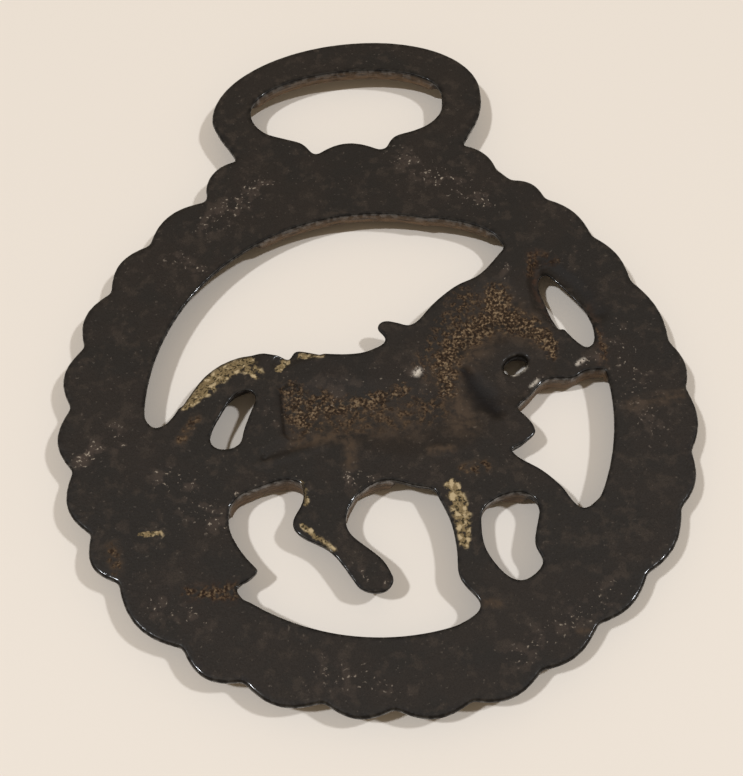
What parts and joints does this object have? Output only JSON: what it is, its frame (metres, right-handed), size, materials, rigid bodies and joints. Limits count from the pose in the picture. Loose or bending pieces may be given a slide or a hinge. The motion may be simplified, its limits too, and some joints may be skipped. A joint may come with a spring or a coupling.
{
  "type": "horse brass",
  "caption": "Cast harness ornament: a scalloped ring with a strap loop above it and a walking horse inside, lying on its face with its flat back up.",
  "frame": {"origin": "middle of the bounding box, on the surface that the brass lies on", "axes": "+Z out of the flat back, +Y from the ring towards the strap loop, +X the way the horse walks"},
  "size_m": [0.0804, 0.1004, 0.0042],
  "materials": {
    "cast_brass": "cast brass under a very dark brown-black patina, satin on the flats, crusted in the hollows behind the horse"
  },
  "bodies": {
    "root": {"horse_brass": "cast_brass"}
  },
  "joints": []
}
